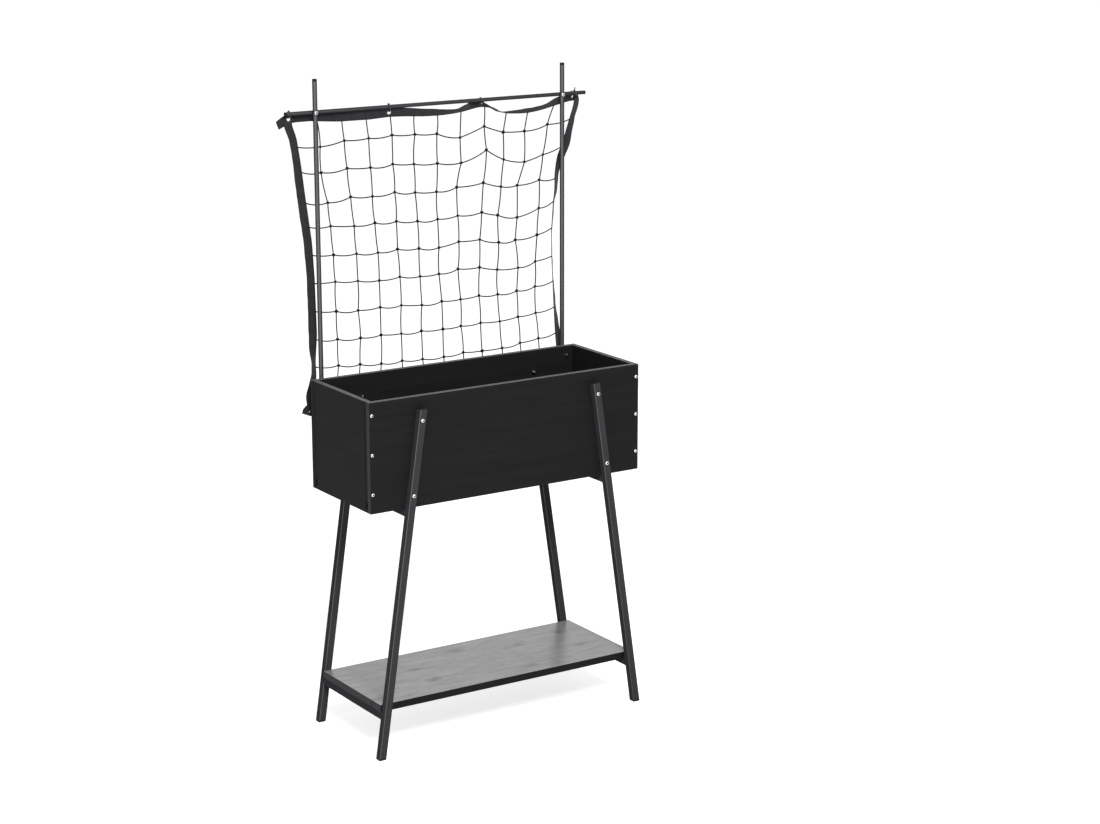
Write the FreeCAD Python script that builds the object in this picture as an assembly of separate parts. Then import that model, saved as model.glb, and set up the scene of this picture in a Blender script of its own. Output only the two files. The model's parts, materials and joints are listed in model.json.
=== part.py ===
import FreeCAD, Part
import math
import os
from FreeCAD import Placement, Rotation, Vector

# A raised planter: a box of black boards bolted between two splayed steel leg
# frames, with a storage shelf low down and a netted trellis behind the box.
# Millimetres. X runs along the box, +Y to its back, +Z up. The origin is on
# the floor, under the middle of the box.

# Box boards
box_length = 800.0
box_depth = 304.0
box_height = 282.0
box_lift = 639.5            # floor to the boards' lower edges
wall_board = 15.0
board_round = 0.8           # softened edges of every board
end_strip_width = 10.0      # shallow routed strip down both edges of an end board
end_strip_depth = 0.8

# Base board, in grooves along the long boards, with a lug at each corner
base_board_thick = 12.0
base_lift = 11.0            # its underside above the boards' lower edges
base_groove_depth = 5.0
base_gap = 0.3              # clearance round its edges
lug_width = 9.4
lug_recess = 4.0            # lug end, inside the end board's outer face
notch_headroom = 2.0
drain_hole = 10.0
drain_columns = 5
drain_rows = 2
drain_pitch_x = 140.0
drain_pitch_y = 130.0

# Leg frames
leg_tube = 20.0
leg_wall = 1.2
leg_top_drop = 28.0         # rim to the leg tops
leg_foot_inset = 11.0       # box end to the leg axis, at the floor
leg_top_inset = 144.2       # box end to the leg axis, at the leg top
tube_round = 2.0
top_cap_head = 3.0
foot_cap_head = 5.0
cap_plug = 14.0             # how far a cap's plug goes into its tube
plug_gap = 0.15

# Shelf
shelf_top = 140.0
shelf_board_thick = 19.0
shelf_gap = 0.5             # to the legs, front and back

# Leg bolts, M6 with button heads, nuts and washers inside the box
leg_bolt_drop = 30.5        # leg top to the upper bolt
leg_bolt_rise = 35.5        # boards' lower edges to the lower bolt
m6_shank = 6.0
m6_head = 10.5
m6_head_height = 3.3
m6_socket = 4.0
m6_washer = 12.0
m6_washer_thick = 1.6
m6_nut = 10.0
m6_nut_thick = 5.0
bolt_tail = 3.4             # thread past the nut
hole_gap = 0.2              # round a bolt, on the radius
head_lip_share = 0.25       # of a head's height, below its dome
head_crown_share = 0.4      # of a head's width, flat on top
recess_share = 0.67         # of a head's height, taken by its socket or cross

# Corner screws and shelf screws
screw_shank = 4.0
screw_head = 9.2
screw_head_height = 2.4
screw_bite = 25.0           # into the end grain of an end board
screw_point = 4.0
screw_slot = 1.2
screw_slot_length = 5.0
pilot_gap = 0.05            # round a screw in its board, on the radius
screw_drop = 33.0           # rim to the top screw
screw_rise = 49.0           # boards' lower edges to the bottom screw
screws_per_corner = 3
shelf_screw_bite = 14.0     # into the shelf board
shelf_screw_spread = 200.0

# Trellis posts and bar
post_tube = 12.0
post_wall = 1.0
post_inset = 34.5           # box end to the post axis
post_rise = 756.0           # rim to the post top
post_lap = 150.0            # how far a post reaches below the rim
post_bolt_drop = 25.0       # rim to the upper post bolt
post_bolt_rise = 25.0       # post foot to the lower post bolt
bar_tube = 10.0
bar_wall = 1.0
bar_overhang = 79.5         # post axis to the bar's end
bar_drop = 83.5             # post top to the bar axis
m5_shank = 5.0
m5_head = 9.5
m5_head_height = 2.75
m5_socket = 3.0
m5_washer = 10.0
m5_washer_thick = 1.0
m5_nut = 8.0
m5_nut_thick = 4.0
bar_bolt_tail = 1.5
end_cap_head = 6.0          # post and bar caps, as wide as their tubes
end_cap_plug = 10.0         # how far a cap's plug goes into its tube
end_cap_round = 1.0         # softened edge of a cap's face

# Net, its binding tape, eyelets and cable ties
net_columns = 12
net_height = 714.5          # between the top and bottom tapes, at their corners
net_pitch = 71.0            # height of a whole row of mesh
net_twine = 2.0
net_left_margin = 22.0      # bar end to the inner edge of the side tape, at the top
net_right_margin = 31.0
net_left_draw = 43.0        # how far each side comes in from its top to its bottom
net_right_draw = 29.0
net_left_bow = 34.0         # how far each side draws in half-way down
net_right_bow = 56.0
net_hang = 25.5             # bar axis to the lower edge of the top tape, at a tie
net_bottom_sag = 33.0
net_top_sags = (5.5, 12.5, 27.0)   # between neighbouring ties, left to right
net_clear = 0.5             # behind the ends of the bar bolts
tape_width = 25.0
tape_thick = 2.0
eyelet_outer = 16.0
eyelet_bore = 10.0
eyelet_wall = 0.6
eyelet_gap = 0.05           # round its barrel, on the radius
tie_width = 3.6
tie_thick = 1.2
tie_gap = 0.25
tie_play = 0.5
tie_bend = 3.0
tie_head = 5.0
tie_head_height = 4.0

# Places worked out from the sizes
rim = box_lift + box_height
inside_length = box_length - 2 * wall_board
inside_depth = box_depth - 2 * wall_board
base_floor = box_lift + base_lift
face_y = box_depth / 2
leg_height = rim - leg_top_drop
leg_foot_x = box_length / 2 - leg_foot_inset
leg_top_x = box_length / 2 - leg_top_inset
leg_lean = math.atan((leg_foot_x - leg_top_x) / leg_height)
shelf_under = shelf_top - shelf_board_thick
post_x = box_length / 2 - post_inset
post_y = face_y + post_tube / 2
post_top = rim + post_rise
post_foot = rim - post_lap
bar_end = post_x + bar_overhang
bar_y = post_y + post_tube / 2 + bar_tube / 2
bar_height = post_top - bar_drop
bar_bolt_length = post_tube + bar_tube + m5_nut_thick + bar_bolt_tail
net_front = face_y + bar_bolt_length + net_clear
net_back = net_front + tape_thick
net_top = bar_height - net_hang
net_bottom = net_top - net_height
net_left = net_left_margin - bar_end
net_right = bar_end - net_right_margin
net_rows = int(net_height / net_pitch) + 1
tie_columns = [k * net_columns // len(net_top_sags) for k in range(len(net_top_sags) + 1)]
overshoot = 1.0             # how far a cutting tool runs past the face it opens

up = Vector(0, 0, 1)
back = Vector(0, 1, 0)
front = Vector(0, -1, 0)
right = Vector(1, 0, 0)


def block(x0, x1, y0, y1, z0, z1):
    low = Vector(min(x0, x1), min(y0, y1), min(z0, z1))
    return Part.makeBox(abs(x1 - x0), abs(y1 - y0), abs(z1 - z0), low)


def rod(diameter, start, direction, length):
    return Part.makeCylinder(diameter / 2, length, start, direction)


def through_y(diameter, x, z):
    """A drill that passes through the whole depth of the planter."""
    reach = box_depth + 2 * leg_tube
    return rod(diameter, Vector(x, -reach, z), back, 2 * reach)


def rounded_board(x0, x1, y0, y1, z0, z1):
    board = block(x0, x1, y0, y1, z0, z1)
    return board.makeFillet(board_round, board.Edges)


def joined(shapes):
    return Part.makeCompound(shapes)


def long_edges(shape, direction, length):
    """The edges of a prism that run along its length."""
    found = []
    for edge in shape.Edges:
        run = edge.Vertexes[-1].Point - edge.Vertexes[0].Point
        if abs(run.dot(direction)) > length / 2:
            found.append(edge)
    return found


def placed(shape, point, direction):
    """A piece made along +Z, turned to a direction and moved to a point."""
    copy = shape.copy()
    copy.Placement = Placement(point, Rotation(up, direction))
    return copy


# Where the fasteners go


def mix(a, b, share):
    return a + (b - a) * share


def leg_x(z):
    return mix(leg_foot_x, leg_top_x, z / leg_height)


def leg_bolt_places():
    heights = [leg_height - leg_bolt_drop, box_lift + leg_bolt_rise]
    return [(side * leg_x(z), z) for side in (-1, 1) for z in heights]


def corner_screw_places():
    """Evenly spaced between the top screw and the bottom one."""
    x = (box_length - wall_board) / 2
    top, bottom = rim - screw_drop, box_lift + screw_rise
    heights = [mix(top, bottom, k / (screws_per_corner - 1)) for k in range(screws_per_corner)]
    return [(side * x, z) for side in (-1, 1) for z in heights]


def post_bolt_places():
    heights = [rim - post_bolt_drop, post_foot + post_bolt_rise]
    return [(side * post_x, z) for side in (-1, 1) for z in heights]


def shelf_rail_x():
    return leg_x(shelf_under - leg_tube / 2)


def shelf_screw_places():
    x, y = shelf_rail_x(), shelf_screw_spread / 2
    return [(side * x, end * y) for side in (-1, 1) for end in (-1, 1)]


# Fasteners, each made along +Z with the underside of its head at the origin


def button_head(diameter, height):
    """A domed head: a low lip, then an arc that runs level into a flat crown."""
    radius, lip, crown = diameter / 2, height * head_lip_share, diameter / 2 * head_crown_share
    reach, rise = radius - crown, height - lip
    dome = (reach ** 2 + rise ** 2) / (2 * rise)
    half_turn = math.atan2(reach, dome - rise) / 2
    mid = Vector(crown + dome * math.sin(half_turn), 0, dome - height - dome * math.cos(half_turn))
    outline = [
        Part.LineSegment(Vector(0, 0, 0), Vector(radius, 0, 0)).toShape(),
        Part.LineSegment(Vector(radius, 0, 0), Vector(radius, 0, -lip)).toShape(),
        Part.Arc(Vector(radius, 0, -lip), mid, Vector(crown, 0, -height)).toShape(),
        Part.LineSegment(Vector(crown, 0, -height), Vector(0, 0, -height)).toShape(),
        Part.LineSegment(Vector(0, 0, -height), Vector(0, 0, 0)).toShape(),
    ]
    return Part.Face(Part.Wire(outline)).revolve(Vector(0, 0, 0), up, 360)


def hexagon(across_flats, z0, z1):
    radius = across_flats / math.sqrt(3)
    turns = [math.radians(60 * k) for k in range(7)]
    corners = [Vector(radius * math.cos(a), radius * math.sin(a), z0) for a in turns]
    return Part.Face(Part.makePolygon(corners)).extrude(Vector(0, 0, z1 - z0))


def socket_bolt(shank, head, head_height, socket, length):
    bolt = button_head(head, head_height).fuse(rod(shank, Vector(0, 0, 0), up, length))
    return bolt.cut(hexagon(socket, -head_height - overshoot, head_height * (recess_share - 1)))


def wood_screw(length):
    """A button-headed screw with a cross recess and a tapered point."""
    body = rod(screw_shank, Vector(0, 0, 0), up, length - screw_point)
    point = Part.makeCone(screw_shank / 2, 0, screw_point, Vector(0, 0, length - screw_point), up)
    screw = button_head(screw_head, screw_head_height).fuse(body).fuse(point)
    low, high = -screw_head_height - overshoot, screw_head_height * (recess_share - 1)
    arm, half = screw_slot_length / 2, screw_slot / 2
    cross = block(-arm, arm, -half, half, low, high)
    cross = cross.fuse(block(-half, half, -arm, arm, low, high))
    return screw.cut(cross)


def washer(outer, shank, thick):
    ring = rod(outer, Vector(0, 0, 0), up, thick)
    return ring.cut(rod(shank + 2 * hole_gap, Vector(0, 0, -overshoot), up, thick + 2 * overshoot))


def nut(across_flats, shank, thick):
    bore = rod(shank + 2 * pilot_gap, Vector(0, 0, -overshoot), up, thick + 2 * overshoot)
    return hexagon(across_flats, 0, thick).cut(bore)


# Box


def long_board(side):
    """Front (-1) or back (+1) board, with a stopped groove for the base board."""
    inner = side * inside_depth / 2
    board = rounded_board(-box_length / 2, box_length / 2, inner, side * face_y, box_lift, rim)
    groove_low = base_floor - base_gap
    groove_high = base_floor + base_board_thick + base_gap
    groove = block(-inside_length / 2, inside_length / 2, inner - side * overshoot,
                   inner + side * base_groove_depth, groove_low, groove_high)
    drills = [through_y(m6_shank + 2 * hole_gap, x, z) for x, z in leg_bolt_places()]
    drills += [through_y(screw_shank + 2 * hole_gap, x, z) for x, z in corner_screw_places()]
    if side > 0:
        drills += [through_y(m5_shank + 2 * hole_gap, x, z) for x, z in post_bolt_places()]
    return board.cut(joined([groove] + drills))


def end_board(side):
    """An end board between the long boards, with the notches for the base lugs."""
    outer, inner, half = side * box_length / 2, side * inside_length / 2, inside_depth / 2
    board = rounded_board(inner, outer, -half, half, box_lift, rim)
    depth = screw_bite + overshoot
    notch_top = base_floor + base_board_thick + notch_headroom
    cuts = []
    for end in (-1, 1):
        edge = end * (half + overshoot)
        strip_in = end * (half - end_strip_width)
        cuts.append(block(outer - side * end_strip_depth, outer + side * overshoot, strip_in, edge,
                          box_lift - overshoot, rim + overshoot))
        cuts.append(block(inner - side * overshoot, outer + side * overshoot, strip_in, edge,
                          base_floor, notch_top))
        for x, z in corner_screw_places():
            if x * side > 0:
                mouth = Vector(x, end * half, z)
                cuts.append(rod(screw_shank + 2 * pilot_gap, mouth, back * -end, depth))
    return board.cut(joined(cuts))


def base_board():
    """The base, with a lug at each corner and rows of drain holes."""
    half_x = inside_length / 2 - base_gap
    half_y = inside_depth / 2 + base_groove_depth - base_gap
    top = base_floor + base_board_thick
    board = block(-half_x, half_x, -half_y, half_y, base_floor, top)
    lug_outer = inside_depth / 2 - base_gap
    for side in (-1, 1):
        for end in (-1, 1):
            lug = block(side * (half_x - overshoot), side * (box_length / 2 - lug_recess),
                        end * (lug_outer - lug_width), end * lug_outer, base_floor, top)
            board = board.fuse(lug)
    drills = []
    for column in range(drain_columns):
        for row in range(drain_rows):
            x = (column - (drain_columns - 1) / 2) * drain_pitch_x
            y = (row - (drain_rows - 1) / 2) * drain_pitch_y
            start = Vector(x, y, base_floor - overshoot)
            drills.append(rod(drain_hole, start, up, base_board_thick + 2 * overshoot))
    return board.removeSplitter().cut(joined(drills))


# Leg frames


def leaning_prism(side, end, half, corner, z0, z1):
    """A square bar round a leg's axis, between two heights, with rounded long edges."""
    wide = half / math.cos(leg_lean)
    outline = [(leg_x(z0) - wide, z0), (leg_x(z0) + wide, z0),
               (leg_x(z1) + wide, z1), (leg_x(z1) - wide, z1)]
    outline.append(outline[0])
    y = end * (face_y + leg_tube / 2) - half
    face = Part.Face(Part.makePolygon([Vector(side * x, y, z) for x, z in outline]))
    prism = face.extrude(Vector(0, 2 * half, 0))
    return prism.makeFillet(corner, long_edges(prism, up, z1 - z0))


def inner_corner(wall):
    return max(tube_round - wall, wall / 2)


def leg(side, end):
    low, high = foot_cap_head, leg_height - top_cap_head
    half = leg_tube / 2
    skin = leaning_prism(side, end, half, tube_round, low, high)
    bore = leaning_prism(side, end, half - leg_wall, inner_corner(leg_wall),
                         low - overshoot, high + overshoot)
    drills = [through_y(m6_shank + 2 * hole_gap, x, z) for x, z in leg_bolt_places()]
    return skin.cut(bore).cut(joined(drills))


def leg_cap(side, end, head_low, head_high, plug_low, plug_high):
    """A plastic cap: a head as wide as the tube, and a plug inside it."""
    head = leaning_prism(side, end, leg_tube / 2, tube_round, head_low, head_high)
    half = leg_tube / 2 - leg_wall - plug_gap
    plug = leaning_prism(side, end, half, inner_corner(leg_wall), plug_low, plug_high)
    return head.fuse(plug)


def top_cap(side, end):
    shoulder = leg_height - top_cap_head
    return leg_cap(side, end, shoulder, leg_height, shoulder - cap_plug, shoulder)


def foot_cap(side, end):
    return leg_cap(side, end, 0, foot_cap_head, foot_cap_head, foot_cap_head + cap_plug)


def cross_rail(x, top):
    """A square tube from the front leg's inner face to the back leg's."""
    half = leg_tube / 2
    skin = block(x - half, x + half, -face_y, face_y, top - leg_tube, top)
    skin = skin.makeFillet(tube_round, long_edges(skin, back, box_depth))
    bore = block(x - half + leg_wall, x + half - leg_wall, -face_y - overshoot, face_y + overshoot,
                 top - leg_tube + leg_wall, top - leg_wall)
    return skin.cut(bore)


def box_rail(side):
    return cross_rail(side * leg_x(box_lift - leg_tube / 2), box_lift)


def shelf_rail(side):
    drills = []
    for x, y in shelf_screw_places():
        start = Vector(x, y, shelf_under - leg_tube - overshoot)
        drills.append(rod(screw_shank + 2 * hole_gap, start, up, leg_tube + 2 * overshoot))
    return cross_rail(side * shelf_rail_x(), shelf_under).cut(joined(drills))


def shelf_board():
    half_x = shelf_rail_x() + leg_tube / 2
    half_y = face_y - shelf_gap
    board = rounded_board(-half_x, half_x, -half_y, half_y, shelf_under, shelf_top)
    depth = shelf_screw_bite + overshoot
    drills = [rod(screw_shank + 2 * pilot_gap, Vector(x, y, shelf_under - overshoot), up,
                  depth + overshoot) for x, y in shelf_screw_places()]
    return board.cut(joined(drills))


# Trellis


def post(side):
    x, low, high = side * post_x, post_foot + end_cap_head, post_top - end_cap_head
    tube = rod(post_tube, Vector(x, post_y, low), up, high - low)
    bore = rod(post_tube - 2 * post_wall, Vector(x, post_y, low - overshoot), up,
               high - low + 2 * overshoot)
    places = post_bolt_places() + [(x, bar_height)]
    drills = [through_y(m5_shank + 2 * hole_gap, *place) for place in places]
    return tube.cut(bore).cut(joined(drills))


def top_bar():
    half = bar_end - end_cap_head
    tube = rod(bar_tube, Vector(-half, bar_y, bar_height), right, 2 * half)
    bore = rod(bar_tube - 2 * bar_wall, Vector(-half - overshoot, bar_y, bar_height), right,
               2 * (half + overshoot))
    drills = [through_y(m5_shank + 2 * hole_gap, x, bar_height) for x in (-post_x, post_x)]
    return tube.cut(bore).cut(joined(drills))


def round_cap(tube, wall, point, inward):
    """A plastic cap for a round tube: a head as wide as the tube, and a plug inside it."""
    head = rod(tube, Vector(0, 0, 0), up, end_cap_head)
    face_edges = [edge for edge in head.Edges if edge.BoundBox.ZMax < end_cap_head / 2]
    head = head.makeFillet(end_cap_round, face_edges)
    plug = rod(tube - 2 * wall - 2 * plug_gap, Vector(0, 0, end_cap_head), up, end_cap_plug)
    return placed(head.fuse(plug), point, inward)


def post_cap(side):
    return round_cap(post_tube, post_wall, Vector(side * post_x, post_y, post_top), up * -1)


def post_plug(side):
    """The same cap in a post's lower end, where the post lies flat on the board."""
    return round_cap(post_tube, post_wall, Vector(side * post_x, post_y, post_foot), up)


def bar_cap(side):
    return round_cap(bar_tube, bar_wall, Vector(side * bar_end, bar_y, bar_height), right * -side)


# Net and its tape: a grid of knots between four curved borders


def arch(share):
    """A parabola that is 0 at both ends and 1 half-way."""
    return 4 * share * (1 - share)


def side_line(top, draw, bow, v):
    """Inner edge of a side tape: comes in by its draw and bows further half-way."""
    return top + draw * v + bow * arch(v)


def top_line(u):
    """Lower edge of the top tape, which hangs slack between the ties."""
    spans = len(net_top_sags)
    span = min(int(u * spans), spans - 1)
    return net_top - net_top_sags[span] * arch(u * spans - span)


def bottom_line(u):
    return net_bottom - net_bottom_sag * arch(u)


def row_share(row):
    """Whole rows of mesh, with what is left shared by the first and the last row."""
    edge = (net_height - (net_rows - 2) * net_pitch) / 2
    if row in (0, net_rows):
        return row / net_rows
    return (edge + (row - 1) * net_pitch) / net_height


def knot(column, row):
    """A knot of the net, in the plane of its front face."""
    u, v = column / net_columns, row_share(row)
    x_left = side_line(net_left, net_left_draw, net_left_bow, v)
    x_right = side_line(net_right, -net_right_draw, -net_right_bow, v)
    return Vector(mix(x_left, x_right, u), net_front, mix(top_line(u), bottom_line(u), v))


def slab(points):
    """A flat outline in the net's plane, given its thickness."""
    return Part.Face(Part.makePolygon(points + points[:1])).extrude(Vector(0, tape_thick, 0))


def net_gap(column, row):
    """The hole inside four knots, drawn in by half a twine, or a whole one at a border."""
    corners = []
    for across, down in ((0, 0), (1, 0), (1, 1), (0, 1)):
        c, r = column + across, row + down
        inset_x = net_twine if c in (0, net_columns) else net_twine / 2
        inset_z = net_twine if r in (0, net_rows) else net_twine / 2
        corners.append(knot(c, r) + Vector(inset_x * (1 - 2 * across), 0, inset_z * (2 * down - 1)))
    return Part.makePolygon(corners + corners[:1])


def net():
    """One holed sheet: the outline along the tape's inner edges, less the gaps."""
    top_side = [knot(c, 0) for c in range(net_columns + 1)]
    right_side = [knot(net_columns, r) for r in range(1, net_rows + 1)]
    bottom_side = [knot(c, net_rows) for c in range(net_columns - 1, -1, -1)]
    left_side = [knot(0, r) for r in range(net_rows - 1, 0, -1)]
    outline = top_side + right_side + bottom_side + left_side
    wires = [Part.makePolygon(outline + outline[:1])]
    for column in range(net_columns):
        for row in range(net_rows):
            wires.append(net_gap(column, row))
    holed = Part.makeFace(wires, "Part::FaceMakerBullseye")
    return holed.extrude(Vector(0, tape_thick, 0))


def level_tape(row, outward):
    """Top or bottom tape: follows the knots and covers both corners."""
    inner = [knot(c, row) for c in range(net_columns + 1)]
    inner.insert(0, inner[0] - Vector(tape_width, 0, 0))
    inner.append(inner[-1] + Vector(tape_width, 0, 0))
    outer = [point + Vector(0, 0, outward * tape_width) for point in inner]
    tape = slab(inner + outer[::-1])
    holes = [rod(eyelet_bore + 2 * (eyelet_wall + eyelet_gap), point - back * overshoot, back,
                 tape_thick + 2 * overshoot) for point in eyelet_places(row, outward)]
    return tape.cut(joined(holes))


def side_tape(column, outward):
    inner = [knot(column, r) for r in range(net_rows + 1)]
    outer = [point + Vector(outward * tape_width, 0, 0) for point in inner]
    return slab(inner + outer[::-1])


def eyelet_places(row, outward):
    return [knot(c, row) + Vector(0, 0, outward * tape_width / 2) for c in tie_columns]


def eyelet(place):
    """Two flanges on the tape's faces and a barrel through it."""
    barrel = eyelet_bore + 2 * eyelet_wall
    flange = rod(eyelet_outer, place - back * eyelet_wall, back, eyelet_wall)
    far = rod(eyelet_outer, place + back * tape_thick, back, eyelet_wall)
    ring = rod(barrel, place - back * eyelet_wall, back, tape_thick + 2 * eyelet_wall)
    bore = rod(eyelet_bore, place - back * (eyelet_wall + overshoot), back,
               tape_thick + 2 * (eyelet_wall + overshoot))
    return flange.fuse(far).fuse(ring).cut(bore)


def cable_tie(place):
    """A strap loop round the bar and through an eyelet, with its head on top."""
    fore = bar_y - bar_tube / 2 - tie_gap
    rear = net_back + eyelet_wall + tie_gap
    low = place.z - eyelet_bore / 2 + tie_thick + tie_play
    high = bar_height + bar_tube / 2 + tie_gap
    x0, x1 = place.x - tie_width / 2, place.x + tie_width / 2
    hole = block(x0, x1, fore, rear, low, high)
    hole = hole.makeFillet(tie_bend, long_edges(hole, right, tie_width))
    strap = block(x0, x1, fore - tie_thick, rear + tie_thick, low - tie_thick, high + tie_thick)
    strap = strap.makeFillet(tie_bend + tie_thick, long_edges(strap, right, tie_width))
    seat = high + tie_thick
    head = block(place.x - tie_head / 2, place.x + tie_head / 2, bar_y - tie_head / 2,
                 bar_y + tie_head / 2, seat, seat + tie_head_height)
    return strap.cut(hole).fuse(head)


# Sets of fasteners


def corner_screws(end):
    screw = wood_screw(wall_board + screw_bite)
    return joined([placed(screw, Vector(x, end * face_y, z), back * -end)
                   for x, z in corner_screw_places()])


def leg_bolts(end):
    length = leg_tube + wall_board + m6_washer_thick + m6_nut_thick + bolt_tail
    bolt = socket_bolt(m6_shank, m6_head, m6_head_height, m6_socket, length)
    outside = end * (face_y + leg_tube)
    return joined([placed(bolt, Vector(x, outside, z), back * -end)
                   for x, z in leg_bolt_places()])


def leg_bolt_set(piece, stand_off):
    """Copies of a washer or nut inside the box, on every leg bolt."""
    copies = []
    for end in (-1, 1):
        y = end * (inside_depth / 2 - stand_off)
        copies += [placed(piece, Vector(x, y, z), back * -end) for x, z in leg_bolt_places()]
    return joined(copies)


def post_bolts():
    length = post_tube + wall_board + m5_washer_thick + m5_nut_thick + bolt_tail
    bolt = socket_bolt(m5_shank, m5_head, m5_head_height, m5_socket, length)
    return joined([placed(bolt, Vector(x, face_y + post_tube, z), front)
                   for x, z in post_bolt_places()])


def post_bolt_set(piece, stand_off):
    y = inside_depth / 2 - stand_off
    return joined([placed(piece, Vector(x, y, z), front) for x, z in post_bolt_places()])


def bar_set(piece, y):
    return joined([placed(piece, Vector(x, y, bar_height), back) for x in (-post_x, post_x)])


def shelf_screws():
    screw = wood_screw(leg_tube + shelf_screw_bite)
    return joined([placed(screw, Vector(x, y, shelf_under - leg_tube), up)
                   for x, y in shelf_screw_places()])


sides = (("left", -1), ("right", 1))
ends = (("front", -1), ("rear", 1))

nodes = {
    "front_board": long_board(-1),
    "back_board": long_board(1),
    "base_board": base_board(),
    "shelf_board": shelf_board(),
    "top_bar": top_bar(),
    "net": net(),
    "net_top_tape": level_tape(0, 1),
    "net_bottom_tape": level_tape(net_rows, -1),
    "net_left_tape": side_tape(0, -1),
    "net_right_tape": side_tape(net_columns, 1),
    "front_corner_screws": corner_screws(-1),
    "rear_corner_screws": corner_screws(1),
    "front_leg_bolts": leg_bolts(-1),
    "rear_leg_bolts": leg_bolts(1),
    "leg_bolt_washers": leg_bolt_set(washer(m6_washer, m6_shank, m6_washer_thick), 0),
    "leg_bolt_nuts": leg_bolt_set(nut(m6_nut, m6_shank, m6_nut_thick), m6_washer_thick),
    "post_bolts": post_bolts(),
    "post_bolt_washers": post_bolt_set(washer(m5_washer, m5_shank, m5_washer_thick), 0),
    "post_bolt_nuts": post_bolt_set(nut(m5_nut, m5_shank, m5_nut_thick), m5_washer_thick),
    "bar_bolts": bar_set(socket_bolt(m5_shank, m5_head, m5_head_height, m5_socket,
                                     bar_bolt_length), face_y),
    "bar_bolt_nuts": bar_set(nut(m5_nut, m5_shank, m5_nut_thick), bar_y + bar_tube / 2),
    "shelf_screws": shelf_screws(),
}

for side_name, side in sides:
    nodes[f"{side_name}_end_board"] = end_board(side)
    nodes[f"{side_name}_box_rail"] = box_rail(side)
    nodes[f"{side_name}_shelf_rail"] = shelf_rail(side)
    nodes[f"{side_name}_post"] = post(side)
    nodes[f"{side_name}_post_cap"] = post_cap(side)
    nodes[f"{side_name}_post_plug"] = post_plug(side)
    nodes[f"{side_name}_bar_cap"] = bar_cap(side)
    for end_name, end in ends:
        nodes[f"{end_name}_{side_name}_leg"] = leg(side, end)
        nodes[f"{end_name}_{side_name}_top_cap"] = top_cap(side, end)
        nodes[f"{end_name}_{side_name}_foot_cap"] = foot_cap(side, end)

top_eyelets = eyelet_places(0, 1)
bottom_eyelets = eyelet_places(net_rows, -1)
nodes["net_eyelets"] = joined([eyelet(place) for place in top_eyelets + bottom_eyelets])
for number, place in enumerate(top_eyelets, 1):
    nodes[f"cable_tie_{number}"] = cable_tie(place)

os.makedirs("parts", exist_ok=True)
for name, shape in nodes.items():
    shape.exportStep(f"parts/{name}.step")
    print(name, len(shape.Solids), "solids", round(shape.Volume / 1000, 2), "cm3", shape.isValid())
whole = joined(list(nodes.values())).BoundBox
print("box", [round(v, 1) for v in (whole.XMin, whole.XMax, whole.YMin, whole.YMax, whole.ZMin, whole.ZMax)])
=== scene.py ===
import json
import math

import bmesh
import bpy
import numpy as np
from mathutils import Matrix, Vector


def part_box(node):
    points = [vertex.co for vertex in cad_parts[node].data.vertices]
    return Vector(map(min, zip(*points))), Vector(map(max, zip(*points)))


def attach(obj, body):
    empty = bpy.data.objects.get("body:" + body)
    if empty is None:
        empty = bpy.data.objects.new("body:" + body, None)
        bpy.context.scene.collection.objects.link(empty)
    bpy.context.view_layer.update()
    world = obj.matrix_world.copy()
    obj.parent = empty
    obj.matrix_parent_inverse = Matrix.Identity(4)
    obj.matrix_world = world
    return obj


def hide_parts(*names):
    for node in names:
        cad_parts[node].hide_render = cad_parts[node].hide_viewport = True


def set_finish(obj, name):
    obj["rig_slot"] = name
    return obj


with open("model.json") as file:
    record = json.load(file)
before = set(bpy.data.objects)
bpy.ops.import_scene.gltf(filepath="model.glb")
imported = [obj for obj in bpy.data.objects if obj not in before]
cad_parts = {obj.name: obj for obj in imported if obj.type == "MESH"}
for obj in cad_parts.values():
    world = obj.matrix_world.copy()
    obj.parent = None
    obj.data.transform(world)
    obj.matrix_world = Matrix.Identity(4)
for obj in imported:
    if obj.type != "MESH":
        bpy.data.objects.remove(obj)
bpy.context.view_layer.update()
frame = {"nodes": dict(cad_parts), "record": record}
nodes = frame["nodes"]
mm = 0.001  # pieces are worked out in millimetres and made in metres
rng = np.random.default_rng(11)
print("frame loaded:", len(nodes), "nodes")


# Shapes: every piece is one or more grids of points that close round their outline, each with a pattern grid
# for its UV map


def unit(vectors):
    return vectors / np.linalg.norm(vectors, axis=-1, keepdims=True)


def through(keys, at, blur):
    # straight runs between (place, value) pairs, rounded by a weighted mean over +-blur
    reach = np.linspace(-1, 1, 11)
    weights = np.cos(reach * math.pi / 2) ** 2
    values = np.interp(at[:, None] + reach * blur, keys[:, 0], keys[:, 1])
    return values @ weights / weights.sum()


def superOval(halfWidth, halfHeight, squareness, count):
    # a circle's cosine and sine, each raised to a power under one, which squares its corners
    turn = np.linspace(0, 2 * math.pi, count, endpoint=False)
    across, over = np.cos(turn), np.sin(turn)
    return np.stack([halfWidth * np.sign(across) * np.abs(across) ** squareness,
                     halfHeight * np.sign(over) * np.abs(over) ** squareness], 1)


def sweep(path, sideways, outline):
    # each point of the outline moved along the path: across it by sideways, off it by the normal
    ahead = unit(np.gradient(path, axis=0))
    sideways = unit(sideways - (sideways * ahead).sum(-1, keepdims=True) * ahead)
    normal = np.cross(ahead, sideways)
    outline = np.broadcast_to(outline, (len(path),) + outline.shape[-2:])
    points = path[:, None] + outline[..., :1] * sideways[:, None] + outline[..., 1:] * normal[:, None]
    return points, sideways, normal


def capped(points):
    # the first and last rings drawn in to their middles, so that the ends are closed
    return np.concatenate([points[:1] * 0 + points[:1].mean(1, keepdims=True), points,
                           points[-1:] * 0 + points[-1:].mean(1, keepdims=True)])


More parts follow.
